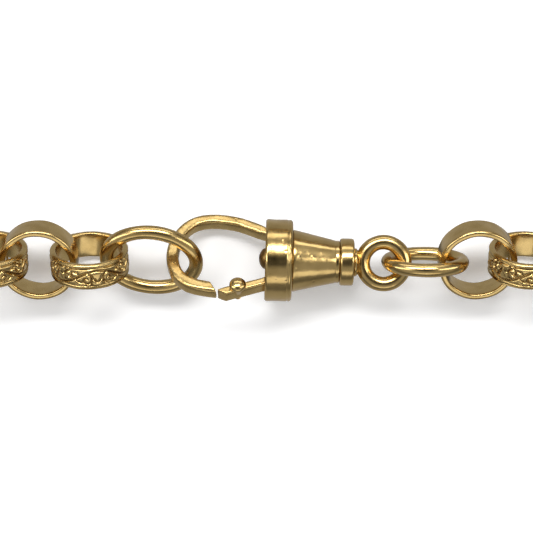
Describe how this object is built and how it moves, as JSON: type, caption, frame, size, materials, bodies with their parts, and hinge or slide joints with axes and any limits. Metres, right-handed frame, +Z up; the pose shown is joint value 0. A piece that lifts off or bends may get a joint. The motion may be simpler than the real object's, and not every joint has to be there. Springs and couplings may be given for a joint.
{
  "type": "pocket watch chain",
  "caption": "Gold belcher watch chain of plain and engraved links, closed into a loop by a swivelling snap hook through an oval end link.",
  "frame": {"origin": "on the table under the middle of the closed loop", "axes": "+X along the loop and the clip, from the hook to the swivel ring; +Y from the clip to the far side of the loop; +Z up from the table"},
  "size_m": [0.1152, 0.0558, 0.0087],
  "materials": {
    "polished_gold": "polished gold with fine handling wear",
    "inner_gold": "darker unpolished gold",
    "spring_steel": "plain hidden steel"
  },
  "bodies": {
    "swivel_eye": {"swivel_ring": "polished_gold", "swivel_washer": "spring_steel"},
    "clip_body": {"neck_bead": "polished_gold", "barrel_cone": "polished_gold", "collar": "polished_gold", "front_plug": "inner_gold", "hook_bow": "polished_gold", "gate_pin": "inner_gold", "gate_spring": "spring_steel"},
    "gate": {"gate_lever": "polished_gold", "thumb_stud": "polished_gold"},
    "right_oval": {"right_oval_link": "polished_gold"},
    "belcher_01": {"belcher_01_plain": "polished_gold"},
    "belcher_02": {"belcher_02_patterned": "polished_gold"},
    "belcher_03": {"belcher_03_plain": "polished_gold"},
    "belcher_04": {"belcher_04_patterned": "polished_gold"},
    "belcher_05": {"belcher_05_plain": "polished_gold"},
    "belcher_06": {"belcher_06_patterned": "polished_gold"},
    "belcher_07": {"belcher_07_plain": "polished_gold"},
    "belcher_08": {"belcher_08_patterned": "polished_gold"},
    "belcher_09": {"belcher_09_plain": "polished_gold"},
    "belcher_10": {"belcher_10_patterned": "polished_gold"},
    "belcher_11": {"belcher_11_plain": "polished_gold"},
    "belcher_12": {"belcher_12_patterned": "polished_gold"},
    "belcher_13": {"belcher_13_plain": "polished_gold"},
    "belcher_14": {"belcher_14_patterned": "polished_gold"},
    "belcher_15": {"belcher_15_plain": "polished_gold"},
    "belcher_16": {"belcher_16_patterned": "polished_gold"},
    "belcher_17": {"belcher_17_plain": "polished_gold"},
    "belcher_18": {"belcher_18_patterned": "polished_gold"},
    "belcher_19": {"belcher_19_plain": "polished_gold"},
    "belcher_20": {"belcher_20_patterned": "polished_gold"},
    "belcher_21": {"belcher_21_plain": "polished_gold"},
    "belcher_22": {"belcher_22_patterned": "polished_gold"},
    "belcher_23": {"belcher_23_plain": "polished_gold"},
    "belcher_24": {"belcher_24_patterned": "polished_gold"},
    "belcher_25": {"belcher_25_plain": "polished_gold"},
    "belcher_26": {"belcher_26_patterned": "polished_gold"},
    "belcher_27": {"belcher_27_plain": "polished_gold"},
    "belcher_28": {"belcher_28_patterned": "polished_gold"},
    "belcher_29": {"belcher_29_plain": "polished_gold"},
    "belcher_30": {"belcher_30_patterned": "polished_gold"},
    "belcher_31": {"belcher_31_plain": "polished_gold"},
    "belcher_32": {"belcher_32_patterned": "polished_gold"},
    "belcher_33": {"belcher_33_plain": "polished_gold"},
    "belcher_34": {"belcher_34_patterned": "polished_gold"},
    "belcher_35": {"belcher_35_plain": "polished_gold"},
    "belcher_36": {"belcher_36_patterned": "polished_gold"},
    "belcher_37": {"belcher_37_plain": "polished_gold"},
    "belcher_38": {"belcher_38_patterned": "polished_gold"},
    "belcher_39": {"belcher_39_plain": "polished_gold"},
    "belcher_40": {"belcher_40_patterned": "polished_gold"},
    "belcher_41": {"belcher_41_plain": "polished_gold"},
    "belcher_42": {"belcher_42_patterned": "polished_gold"},
    "belcher_43": {"belcher_43_plain": "polished_gold"},
    "belcher_44": {"belcher_44_patterned": "polished_gold"},
    "left_oval": {"left_oval_link": "polished_gold"}
  },
  "joints": [
    {"name": "clip_swivel", "type": "hinge", "parent": "swivel_eye", "child": "clip_body", "pos_m": [0.00684, -0.02371, 0.00435], "axis": [0.9997, -0.0262, 0], "range_deg": [-45, 28]},
    {"name": "gate_hinge", "type": "hinge", "parent": "clip_body", "child": "gate", "pos_m": [-0.00052, -0.02572, 0.00601], "axis": [0.0157, 0.6016, 0.7986], "range_deg": [-20, 0], "stiffness_Nm_per_rad": 0.0005, "springref_deg": 20.05},
    {"name": "right_oval_hinge", "type": "hinge", "parent": "swivel_eye", "child": "right_oval", "pos_m": [0.01123, -0.02349, 0.00435], "axis": [0, 0, 1], "range_deg": [-3, 6]},
    {"name": "belcher_01_hinge", "type": "hinge", "parent": "right_oval", "child": "belcher_01", "pos_m": [0.01791, -0.02349, 0.00435], "axis": [0, 0, 1], "range_deg": [-3.3, 6.3]},
    {"name": "belcher_02_hinge", "type": "hinge", "parent": "belcher_01", "child": "belcher_02", "pos_m": [0.02321, -0.02349, 0.00435], "axis": [0, 0, 1], "range_deg": [-3.3, 6.3]},
    {"name": "belcher_03_hinge", "type": "hinge", "parent": "belcher_02", "child": "belcher_03", "pos_m": [0.02851, -0.02349, 0.00435], "axis": [0, 0, 1], "range_deg": [-3.3, 6.3]},
    {"name": "belcher_04_hinge", "type": "hinge", "parent": "belcher_03", "child": "belcher_04", "pos_m": [0.03381, -0.02329, 0.00435], "axis": [0, 0, 1], "range_deg": [-4.08, 2.19]},
    {"name": "belcher_05_hinge", "type": "hinge", "parent": "belcher_04", "child": "belcher_05", "pos_m": [0.03893, -0.02191, 0.00435], "axis": [0, 0, 1], "range_deg": [-4.04, 2.17]},
    {"name": "belcher_06_hinge", "type": "hinge", "parent": "belcher_05", "child": "belcher_06", "pos_m": [0.04361, -0.01943, 0.00435], "axis": [0, 0, 1], "range_deg": [-3.99, 2.15]},
    {"name": "belcher_07_hinge", "type": "hinge", "parent": "belcher_06", "child": "belcher_07", "pos_m": [0.04763, -0.01597, 0.00435], "axis": [0, 0, 1], "range_deg": [-3.91, 2.11]},
    {"name": "belcher_08_hinge", "type": "hinge", "parent": "belcher_07", "child": "belcher_08", "pos_m": [0.05077, -0.0117, 0.00435], "axis": [0, 0, 1], "range_deg": [-3.82, 2.06]},
    {"name": "belcher_09_hinge", "type": "hinge", "parent": "belcher_08", "child": "belcher_09", "pos_m": [0.05288, -0.00684, 0.00435], "axis": [0, 0, 1], "range_deg": [-3.71, 2.01]},
    {"name": "belcher_10_hinge", "type": "hinge", "parent": "belcher_09", "child": "belcher_10", "pos_m": [0.05386, -0.00163, 0.00435], "axis": [0, 0, 1], "range_deg": [-3.6, 1.95]},
    {"name": "belcher_11_hinge", "type": "hinge", "parent": "belcher_10", "child": "belcher_11", "pos_m": [0.05366, 0.00366, 0.00435], "axis": [0, 0, 1], "range_deg": [-3.48, 1.89]},
    {"name": "belcher_12_hinge", "type": "hinge", "parent": "belcher_11", "child": "belcher_12", "pos_m": [0.05228, 0.00878, 0.00435], "axis": [0, 0, 1], "range_deg": [-3.37, 1.83]},
    {"name": "belcher_13_hinge", "type": "hinge", "parent": "belcher_12", "child": "belcher_13", "pos_m": [0.0498, 0.01346, 0.00435], "axis": [0, 0, 1], "range_deg": [-3.26, 1.78]},
    {"name": "belcher_14_hinge", "type": "hinge", "parent": "belcher_13", "child": "belcher_14", "pos_m": [0.04634, 0.01748, 0.00435], "axis": [0, 0, 1], "range_deg": [-3.17, 1.74]},
    {"name": "belcher_15_hinge", "type": "hinge", "parent": "belcher_14", "child": "belcher_15", "pos_m": [0.04207, 0.02062, 0.00435], "axis": [0, 0, 1], "range_deg": [-3.1, 1.7]},
    {"name": "belcher_16_hinge", "type": "hinge", "parent": "belcher_15", "child": "belcher_16", "pos_m": [0.03721, 0.02274, 0.00435], "axis": [0, 0, 1], "range_deg": [-3.06, 1.68]},
    {"name": "belcher_17_hinge", "type": "hinge", "parent": "belcher_16", "child": "belcher_17", "pos_m": [0.032, 0.02372, 0.00435], "axis": [0, 0, 1], "range_deg": [-3.04, 1.67]},
    {"name": "belcher_18_hinge", "type": "hinge", "parent": "belcher_17", "child": "belcher_18", "pos_m": [0.0267, 0.02372, 0.00435], "axis": [0, 0, 1], "range_deg": [-2.25, 4.2]},
    {"name": "belcher_19_hinge", "type": "hinge", "parent": "belcher_18", "child": "belcher_19", "pos_m": [0.0214, 0.02372, 0.00435], "axis": [0, 0, 1], "range_deg": [-2.25, 4.2]},
    {"name": "belcher_20_hinge", "type": "hinge", "parent": "belcher_19", "child": "belcher_20", "pos_m": [0.0161, 0.02372, 0.00435], "axis": [0, 0, 1], "range_deg": [-2.25, 4.2]},
    {"name": "belcher_21_hinge", "type": "hinge", "parent": "belcher_20", "child": "belcher_21", "pos_m": [0.0108, 0.02372, 0.00435], "axis": [0, 0, 1], "range_deg": [-2.25, 4.2]},
    {"name": "belcher_22_hinge", "type": "hinge", "parent": "belcher_21", "child": "belcher_22", "pos_m": [0.0055, 0.02372, 0.00435], "axis": [0, 0, 1], "range_deg": [-2.25, 4.2]},
    {"name": "belcher_23_hinge", "type": "hinge", "parent": "belcher_22", "child": "belcher_23", "pos_m": [0.0002, 0.02372, 0.00435], "axis": [0, 0, 1], "range_deg": [-2.25, 4.2]},
    {"name": "belcher_24_hinge", "type": "hinge", "parent": "belcher_23", "child": "belcher_24", "pos_m": [-0.0051, 0.02372, 0.00435], "axis": [0, 0, 1], "range_deg": [-2.25, 4.2]},
    {"name": "belcher_25_hinge", "type": "hinge", "parent": "belcher_24", "child": "belcher_25", "pos_m": [-0.0104, 0.02372, 0.00435], "axis": [0, 0, 1], "range_deg": [-2.25, 4.2]},
    {"name": "belcher_26_hinge", "type": "hinge", "parent": "belcher_25", "child": "belcher_26", "pos_m": [-0.0157, 0.02372, 0.00435], "axis": [0, 0, 1], "range_deg": [-2.25, 4.2]},
    {"name": "belcher_27_hinge", "type": "hinge", "parent": "belcher_26", "child": "belcher_27", "pos_m": [-0.021, 0.02372, 0.00435], "axis": [0, 0, 1], "range_deg": [-2.25, 4.2]},
    {"name": "belcher_28_hinge", "type": "hinge", "parent": "belcher_27", "child": "belcher_28", "pos_m": [-0.0263, 0.02372, 0.00435], "axis": [0, 0, 1], "range_deg": [-2.25, 4.2]},
    {"name": "belcher_29_hinge", "type": "hinge", "parent": "belcher_28", "child": "belcher_29", "pos_m": [-0.0316, 0.02372, 0.00435], "axis": [0, 0, 1], "range_deg": [-3.04, 1.67]},
    {"name": "belcher_30_hinge", "type": "hinge", "parent": "belcher_29", "child": "belcher_30", "pos_m": [-0.0368, 0.02274, 0.00435], "axis": [0, 0, 1], "range_deg": [-3.06, 1.68]},
    {"name": "belcher_31_hinge", "type": "hinge", "parent": "belcher_30", "child": "belcher_31", "pos_m": [-0.04166, 0.02062, 0.00435], "axis": [0, 0, 1], "range_deg": [-3.1, 1.7]},
    {"name": "belcher_32_hinge", "type": "hinge", "parent": "belcher_31", "child": "belcher_32", "pos_m": [-0.04593, 0.01748, 0.00435], "axis": [0, 0, 1], "range_deg": [-3.17, 1.74]},
    {"name": "belcher_33_hinge", "type": "hinge", "parent": "belcher_32", "child": "belcher_33", "pos_m": [-0.04939, 0.01346, 0.00435], "axis": [0, 0, 1], "range_deg": [-3.26, 1.78]},
    {"name": "belcher_34_hinge", "type": "hinge", "parent": "belcher_33", "child": "belcher_34", "pos_m": [-0.05187, 0.00878, 0.00435], "axis": [0, 0, 1], "range_deg": [-3.37, 1.83]},
    {"name": "belcher_35_hinge", "type": "hinge", "parent": "belcher_34", "child": "belcher_35", "pos_m": [-0.05325, 0.00366, 0.00435], "axis": [0, 0, 1], "range_deg": [-3.48, 1.89]},
    {"name": "belcher_36_hinge", "type": "hinge", "parent": "belcher_35", "child": "belcher_36", "pos_m": [-0.05345, -0.00163, 0.00435], "axis": [0, 0, 1], "range_deg": [-3.6, 1.95]},
    {"name": "belcher_37_hinge", "type": "hinge", "parent": "belcher_36", "child": "belcher_37", "pos_m": [-0.05247, -0.00684, 0.00435], "axis": [0, 0, 1], "range_deg": [-3.71, 2.01]},
    {"name": "belcher_38_hinge", "type": "hinge", "parent": "belcher_37", "child": "belcher_38", "pos_m": [-0.05036, -0.0117, 0.00435], "axis": [0, 0, 1], "range_deg": [-3.82, 2.06]},
    {"name": "belcher_39_hinge", "type": "hinge", "parent": "belcher_38", "child": "belcher_39", "pos_m": [-0.04722, -0.01597, 0.00435], "axis": [0, 0, 1], "range_deg": [-3.91, 2.11]},
    {"name": "belcher_40_hinge", "type": "hinge", "parent": "belcher_39", "child": "belcher_40", "pos_m": [-0.0432, -0.01943, 0.00435], "axis": [0, 0, 1], "range_deg": [-3.99, 2.15]},
    {"name": "belcher_41_hinge", "type": "hinge", "parent": "belcher_40", "child": "belcher_41", "pos_m": [-0.03852, -0.02191, 0.00435], "axis": [0, 0, 1], "range_deg": [-4.04, 2.17]},
    {"name": "belcher_42_hinge", "type": "hinge", "parent": "belcher_41", "child": "belcher_42", "pos_m": [-0.0334, -0.02329, 0.00435], "axis": [0, 0, 1], "range_deg": [-4.08, 2.19]},
    {"name": "belcher_43_hinge", "type": "hinge", "parent": "belcher_42", "child": "belcher_43", "pos_m": [-0.02811, -0.02349, 0.00435], "axis": [0, 0, 1], "range_deg": [-3.3, 6.3]},
    {"name": "belcher_44_hinge", "type": "hinge", "parent": "belcher_43", "child": "belcher_44", "pos_m": [-0.02281, -0.02349, 0.00435], "axis": [0, 0, 1], "range_deg": [-3.3, 6.3]},
    {"name": "left_oval_hinge", "type": "hinge", "parent": "belcher_44", "child": "left_oval", "pos_m": [-0.01751, -0.02349, 0.00435], "axis": [0, 0, 1], "range_deg": [-3.3, 6.3]}
  ],
  "couplings": [
    {"joint": "belcher_01_hinge", "follows": "right_oval_hinge", "ratio": 1},
    {"joint": "belcher_02_hinge", "follows": "right_oval_hinge", "ratio": 1},
    {"joint": "belcher_03_hinge", "follows": "right_oval_hinge", "ratio": 1},
    {"joint": "belcher_04_hinge", "follows": "right_oval_hinge", "ratio": -0.62924},
    {"joint": "belcher_05_hinge", "follows": "right_oval_hinge", "ratio": -0.62417},
    {"joint": "belcher_06_hinge", "follows": "right_oval_hinge", "ratio": -0.61502},
    {"joint": "belcher_07_hinge", "follows": "right_oval_hinge", "ratio": -0.60226},
    {"joint": "belcher_08_hinge", "follows": "right_oval_hinge", "ratio": -0.58652},
    {"joint": "belcher_09_hinge", "follows": "right_oval_hinge", "ratio": -0.5686},
    {"joint": "belcher_10_hinge", "follows": "right_oval_hinge", "ratio": -0.5494},
    {"joint": "belcher_11_hinge", "follows": "right_oval_hinge", "ratio": -0.52987},
    {"joint": "belcher_12_hinge", "follows": "right_oval_hinge", "ratio": -0.511},
    {"joint": "belcher_13_hinge", "follows": "right_oval_hinge", "ratio": -0.49373},
    {"joint": "belcher_14_hinge", "follows": "right_oval_hinge", "ratio": -0.47893},
    {"joint": "belcher_15_hinge", "follows": "right_oval_hinge", "ratio": -0.46734},
    {"joint": "belcher_16_hinge", "follows": "right_oval_hinge", "ratio": -0.45954},
    {"joint": "belcher_17_hinge", "follows": "right_oval_hinge", "ratio": -0.45607},
    {"joint": "belcher_18_hinge", "follows": "right_oval_hinge", "ratio": 0.6494},
    {"joint": "belcher_19_hinge", "follows": "right_oval_hinge", "ratio": 0.6494},
    {"joint": "belcher_20_hinge", "follows": "right_oval_hinge", "ratio": 0.6494},
    {"joint": "belcher_21_hinge", "follows": "right_oval_hinge", "ratio": 0.6494},
    {"joint": "belcher_22_hinge", "follows": "right_oval_hinge", "ratio": 0.6494},
    {"joint": "belcher_23_hinge", "follows": "right_oval_hinge", "ratio": 0.6494},
    {"joint": "belcher_24_hinge", "follows": "right_oval_hinge", "ratio": 0.6494},
    {"joint": "belcher_25_hinge", "follows": "right_oval_hinge", "ratio": 0.6494},
    {"joint": "belcher_26_hinge", "follows": "right_oval_hinge", "ratio": 0.6494},
    {"joint": "belcher_27_hinge", "follows": "right_oval_hinge", "ratio": 0.6494},
    {"joint": "belcher_28_hinge", "follows": "right_oval_hinge", "ratio": 0.6494},
    {"joint": "belcher_29_hinge", "follows": "right_oval_hinge", "ratio": -0.45607},
    {"joint": "belcher_30_hinge", "follows": "right_oval_hinge", "ratio": -0.45954},
    {"joint": "belcher_31_hinge", "follows": "right_oval_hinge", "ratio": -0.46734},
    {"joint": "belcher_32_hinge", "follows": "right_oval_hinge", "ratio": -0.47893},
    {"joint": "belcher_33_hinge", "follows": "right_oval_hinge", "ratio": -0.49373},
    {"joint": "belcher_34_hinge", "follows": "right_oval_hinge", "ratio": -0.511},
    {"joint": "belcher_35_hinge", "follows": "right_oval_hinge", "ratio": -0.52987},
    {"joint": "belcher_36_hinge", "follows": "right_oval_hinge", "ratio": -0.5494},
    {"joint": "belcher_37_hinge", "follows": "right_oval_hinge", "ratio": -0.5686},
    {"joint": "belcher_38_hinge", "follows": "right_oval_hinge", "ratio": -0.58652},
    {"joint": "belcher_39_hinge", "follows": "right_oval_hinge", "ratio": -0.60226},
    {"joint": "belcher_40_hinge", "follows": "right_oval_hinge", "ratio": -0.61502},
    {"joint": "belcher_41_hinge", "follows": "right_oval_hinge", "ratio": -0.62417},
    {"joint": "belcher_42_hinge", "follows": "right_oval_hinge", "ratio": -0.62924},
    {"joint": "belcher_43_hinge", "follows": "right_oval_hinge", "ratio": 1},
    {"joint": "belcher_44_hinge", "follows": "right_oval_hinge", "ratio": 1},
    {"joint": "left_oval_hinge", "follows": "right_oval_hinge", "ratio": 1}
  ]
}
